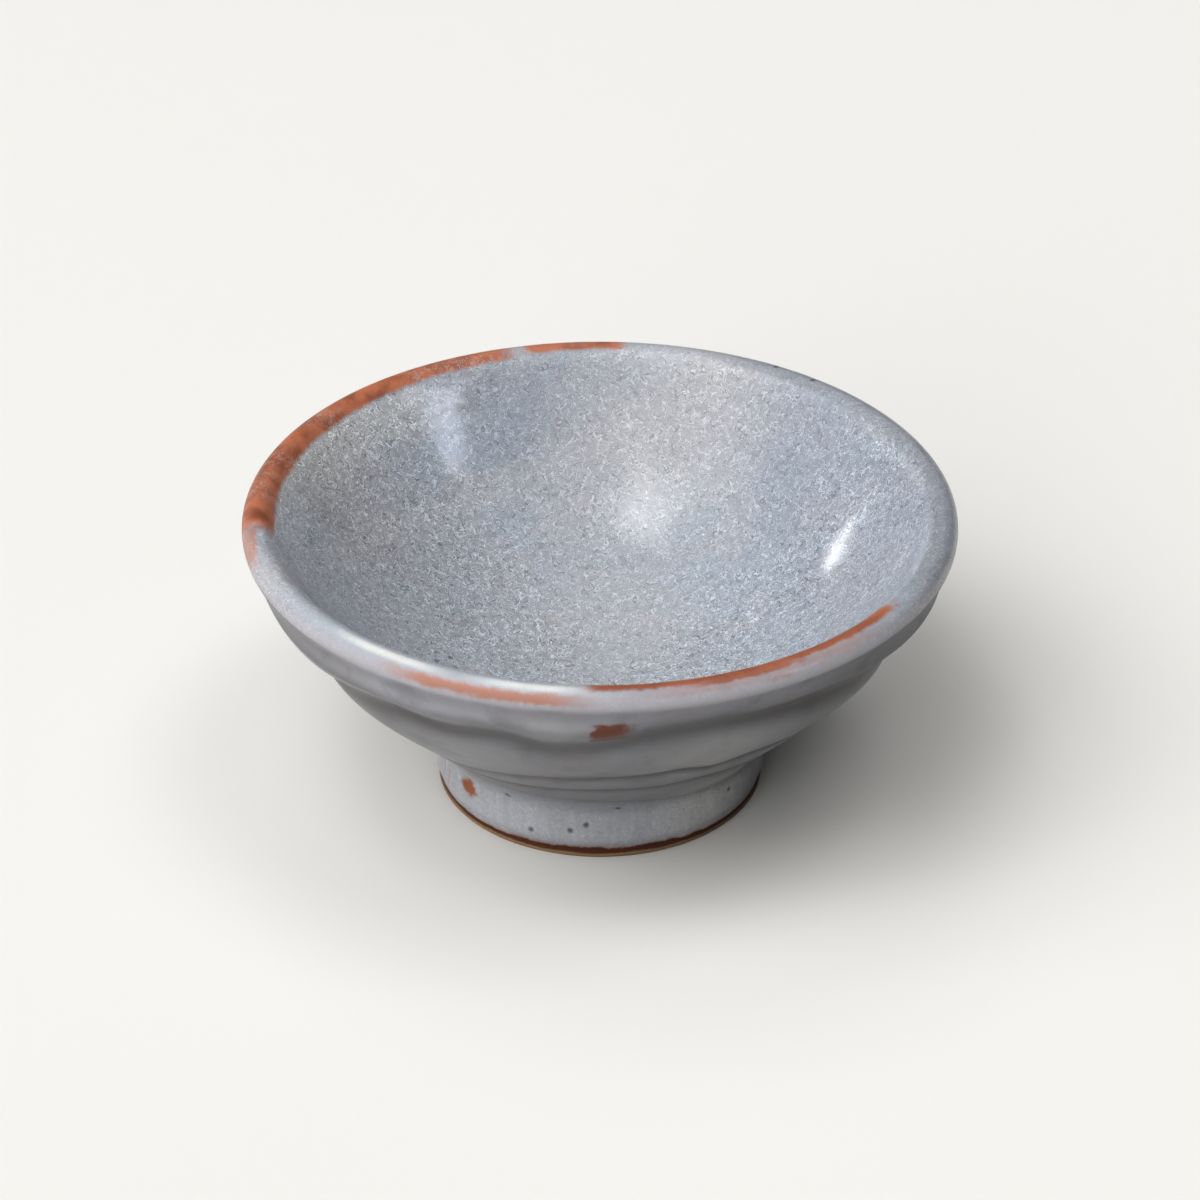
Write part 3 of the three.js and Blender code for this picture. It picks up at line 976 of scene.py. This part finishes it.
class CUP_OT_foot_ring(bpy.types.Operator):
    """Turned foot ring with its bare contact face"""

    bl_idname = "cup.foot_ring"
    bl_label = "Foot ring"

    def execute(self, context):
        shape = CupShape(context.scene.cup_sizes)
        contact_outer = shape.foot_radius + shape.FOOT_SPREAD / 6
        spread = shape.foot_radius + shape.FOOT_SPREAD
        contact_inner = shape.contact_inner()
        corner = bezier([
            (contact_outer, 0),
            (spread, 0),
            (spread, shape.FOOT_EDGE * 0.4),
            (shape.foot_radius, shape.FOOT_EDGE * 0.6),
            (shape.foot_radius, shape.FOOT_EDGE),
        ], 12)
        seat_radius = np.linspace(shape.collar_edge[0], shape.recess_top(), 10)
        seat_drop = SEAT_DROP * (1 - ease(shape.joint[0] - SEAT_RUN, shape.collar_edge[0], seat_radius))
        seat_height = np.minimum(shape.underside(seat_radius) - seat_drop, shape.collar_edge[1])
        seat = np.stack([seat_radius, seat_height], axis=1)[1:]
        rounded = (contact_inner, RECESS_ROUND)
        recess = bezier([seat[-1], rounded, rounded, (contact_inner + RECESS_ROUND, 0)], 16)[1:]
        contact = np.linspace(recess[-1], (contact_outer, 0), 8)[1:]
        path = np.concatenate([corner, shape.collar(10), seat, recess, contact])
        section = respaced(path, shape.FOOT_SPACING)
        section[-1] = section[0]
        piece = turned("turned_foot", section, FOOT_STEPS)
        finish_piece(piece, "foot_ring", foot_clay(context.scene.cup_colours))
        return {"FINISHED"}


class CUP_OT_joint_slip(bpy.types.Operator):
    """Slip squeezed between the foot and the bowl"""

    bl_idname = "cup.joint_slip"
    bl_label = "Joint slip"

    def execute(self, context):
        shape = CupShape(context.scene.cup_sizes)
        radius = np.linspace(shape.recess_top(), shape.joint[0], 16)
        under_bowl = shape.underside(radius)
        top = np.stack([radius, under_bowl - BACK_GAP], axis=1)
        low_height = np.minimum(under_bowl - SLIP_DEPTH, shape.collar_edge[1])
        low = np.stack([radius, low_height], axis=1)[:-1]
        low[-1] = shape.collar_edge + [0, BACK_GAP]
        section = np.concatenate([low, top[::-1], low[:1]])
        piece = turned("luting_slip", section, CLAY_STEPS)
        finish_piece(piece, "joint_slip", bare_clay("slip", context.scene.cup_colours.slip))
        return {"FINISHED"}


class CUP_OT_inner_glaze(bpy.types.Operator):
    """Coat of glaze over the inside of the bowl and the lip"""

    bl_idname = "cup.inner_glaze"
    bl_label = "Inner glaze"

    def execute(self, context):
        shape = CupShape(context.scene.cup_sizes)
        surface = shape.inner_surface()
        end = SEAM_ANGLE - SEAM_OVERLAP
        angles = np.linspace(shape.INNER_ROLL, end, 40)[1:]
        dip = SEAM_DIP * np.clip((SEAM_ANGLE + 2 - angles) / SEAM_OVERLAP, 0, None)
        lip = shape.lip(angles, depth=dip)
        lip_back = shape.lip(np.linspace(end, 180, 17), depth=shape.coat - BACK_GAP)
        back = beside(shape.inside(26), -BACK_GAP)[::-1]
        back[-1, 0] = 0
        section = np.concatenate([surface, lip, lip_back, back[1:]])
        piece = turned("inner_coat", section, GLAZE_STEPS)
        material = glaze("inner glaze", context.scene.cup_colours, shape, inside=True)
        finish_piece(piece, "inner_glaze", material)
        return {"FINISHED"}


class CUP_OT_outer_glaze(bpy.types.Operator):
    """Coat of glaze from the foot's bare edge up to the lip"""

    bl_idname = "cup.outer_glaze"
    bl_label = "Outer glaze"

    def execute(self, context):
        shape = CupShape(context.scene.cup_sizes)
        clay = shape.outside()
        surface = shape.outer_surface()
        angles = np.linspace(shape.OUTER_ROLL, SEAM_ANGLE + SEAM_OVERLAP, 12)[1:]
        dip = SEAM_DIP * np.clip((angles - SEAM_ANGLE + 2) / SEAM_OVERLAP, 0, None)
        lip = shape.lip(angles, depth=dip)
        lip_back = shape.lip(np.linspace(SEAM_ANGLE + SEAM_OVERLAP, 0, 7), depth=shape.coat - BACK_GAP)
        back = beside(respaced(clay, shape.BACK_SPACING), BACK_GAP / 2)[::-1]
        section = np.concatenate([surface, lip, lip_back, back[1:], surface[:1]])
        piece = turned("outer_coat", section, GLAZE_STEPS)

        def throw(points):
            relief = wall_relief(azimuth_of(points), points[:, 2], shape)
            return outward(points, relief)

        reshape(piece, throw)
        mark_groove_shade(piece)
        material = glaze("outer glaze", context.scene.cup_colours, shape, inside=False)
        finish_piece(piece, "outer_glaze", material)
        return {"FINISHED"}


# Metres from the cup to each lamp and across the floor, then the camera's sensor in millimetres.
LAMP_DISTANCE = 8
FLOOR_WIDTH = 12
SENSOR_WIDTH = 36
COOL = (0.75, 0.83, 1)
NEUTRAL = (1, 1, 1)
# Whether a lamp lights dull surfaces and whether the glaze mirrors it.
LIGHTS = (True, False)
SHINES = (True, True)
MIRRORED = (False, True)
# Lamps: azimuth, elevation, width, height, share of the floor's light, what it does, and any tone.
LAMPS = {
    "key": (-130, 64, 5.0, 4.0, 0.165, LIGHTS),
    "key_wide": (-131, 65, 4.4, 3.6, 0.06, SHINES),
    "key_halo": (-131, 66, 3.0, 2.5, 0.06, SHINES),
    "key_glow": (-131, 67, 1.9, 1.6, 0.03, SHINES),
    "key_core": (-131, 67, 1.0, 0.8, 0.01, SHINES),
    "left_high": (-165, 48, 4.0, 3.4, 0.15, LIGHTS),
    "front_left": (-138, 40, 4.0, 3.6, 0.12, LIGHTS),
    "front": (-108, 40, 4.0, 3.6, 0.1, LIGHTS),
    "front_low": (-118, 19, 4.0, 2.4, 0.06, LIGHTS),
    "left": (-176, 13, 4.5, 2.4, 0.045, LIGHTS),
    "back": (122, 64, 5.0, 4.0, 0.12, LIGHTS),
    "back_low": (66, 7, 4.5, 0.8, 0.01, LIGHTS),
    "right": (-14, 70, 4.0, 2.8, 0.16, LIGHTS),
    "overhead": (-45, 80, 4.0, 4.0, 0.03, LIGHTS),
    "window_low": (-19.5, 41.3, 1.5, 0.7, 0.024, MIRRORED, COOL),
    "window_high": (-25.5, 34.5, 1.8, 0.9, 0.04, MIRRORED, COOL),
    "strip_high": (140.5, 16.9, 1.0, 0.32, 0.0068, MIRRORED),
    "strip_low": (134.0, 15.6, 1.0, 0.32, 0.006, MIRRORED),
}


def direction(azimuth, elevation):
    """Unit vector towards an azimuth and an elevation in degrees."""
    turn, rise = math.radians(azimuth), math.radians(elevation)
    return Vector((math.cos(turn) * math.cos(rise), math.sin(turn) * math.cos(rise), math.sin(rise)))


def soft_lamp(name, azimuth, elevation, width, height, floor_share, use, tone=NEUTRAL):
    """A far rectangular lamp that faces the cup and gives the floor a share of its light."""
    towards = direction(azimuth, elevation)
    bpy.ops.object.select_all(action="DESELECT")
    bpy.ops.object.light_add(
        type="AREA",
        location=towards * LAMP_DISTANCE,
        rotation=towards.to_track_quat("Z", "Y").to_euler(),
    )
    lamp = bpy.context.object
    lamp.name = name
    lamp.visible_diffuse, lamp.visible_glossy = use
    lamp.data.shape = "RECTANGLE"
    lamp.data.size = width
    lamp.data.size_y = height
    lamp.data.energy = floor_share * (math.pi * LAMP_DISTANCE) ** 2 / towards.z
    lamp.data.color = tone


class CUP_OT_stage(bpy.types.Operator):
    """Pale floor, soft lamps and the camera"""

    bl_idname = "cup.stage"
    bl_label = "Stage"

    def execute(self, context):
        settings = context.scene.cup_stage
        bpy.ops.object.select_all(action="DESELECT")
        bpy.ops.mesh.primitive_plane_add(size=FLOOR_WIDTH, location=(0, 0, 0))
        floor = context.object
        floor.name = "floor"
        paint = Paint("pale floor")
        rays = ("Is Camera Ray", "Is Glossy Ray", "Is Transmission Ray")
        seen = sum(paint.node("ShaderNodeLightPath", output=ray) for ray in rays)
        tone = paint.mix(seen, settings.floor_bounce, settings.floor)
        paint.set(Base_Color=tone, Roughness=1.0, Specular_IOR_Level=0.0)
        floor.data.materials.append(paint.material)

        for name, lamp in LAMPS.items():
            soft_lamp(name, *lamp)

        world = context.scene.world
        if world is None:
            world = bpy.data.worlds.new("studio")
            context.scene.world = world
        world.use_nodes = True
        sky = world.node_tree.nodes["Background"]
        sky.inputs["Color"].default_value = (1, 1, 1, 1)
        sky.inputs["Strength"].default_value = settings.sky_share

        target = Vector((0, 0, settings.camera_target))
        towards = direction(-90, math.degrees(settings.camera_elevation))
        bpy.ops.object.select_all(action="DESELECT")
        bpy.ops.object.camera_add(
            location=target + towards * settings.camera_distance,
            rotation=(math.pi / 2 - settings.camera_elevation, 0, 0),
        )
        camera = context.object
        camera.data.lens = settings.camera_lens
        camera.data.sensor_width = SENSOR_WIDTH
        camera.data.clip_start = 0.01
        context.scene.camera = camera

        context.scene.view_settings.view_transform = "Standard"
        return {"FINISHED"}


class CUP_PT_sidebar(bpy.types.Panel):
    """Lists the operators of the cup and their settings"""

    bl_idname = "CUP_PT_sidebar"
    bl_label = "Sake cup"
    bl_space_type = "VIEW_3D"
    bl_region_type = "UI"
    bl_category = "Sake Cup"

    def draw(self, context):
        for operator in OPERATORS:
            self.layout.operator(operator.bl_idname)
        for group in (context.scene.cup_sizes, context.scene.cup_colours, context.scene.cup_stage):
            box = self.layout.box()
            for name in group.__annotations__:
                box.prop(group, name)


OPERATORS = (
    CUP_OT_bowl_body,
    CUP_OT_foot_ring,
    CUP_OT_joint_slip,
    CUP_OT_inner_glaze,
    CUP_OT_outer_glaze,
    CUP_OT_stage,
)
CLASSES = (CupSizes, CupColours, StageSettings, *OPERATORS, CUP_PT_sidebar)


def register():
    for cls in CLASSES:
        bpy.utils.register_class(cls)
    bpy.types.Scene.cup_sizes = PointerProperty(type=CupSizes)
    bpy.types.Scene.cup_colours = PointerProperty(type=CupColours)
    bpy.types.Scene.cup_stage = PointerProperty(type=StageSettings)


def unregister():
    del bpy.types.Scene.cup_stage
    del bpy.types.Scene.cup_colours
    del bpy.types.Scene.cup_sizes
    for cls in reversed(CLASSES):
        bpy.utils.unregister_class(cls)


def main():
    register()
    bpy.ops.cup.bowl_body()
    bpy.ops.cup.foot_ring()
    bpy.ops.cup.joint_slip()
    bpy.ops.cup.inner_glaze()
    bpy.ops.cup.outer_glaze()
    bpy.ops.cup.stage()


if __name__ == "__main__":
    main()
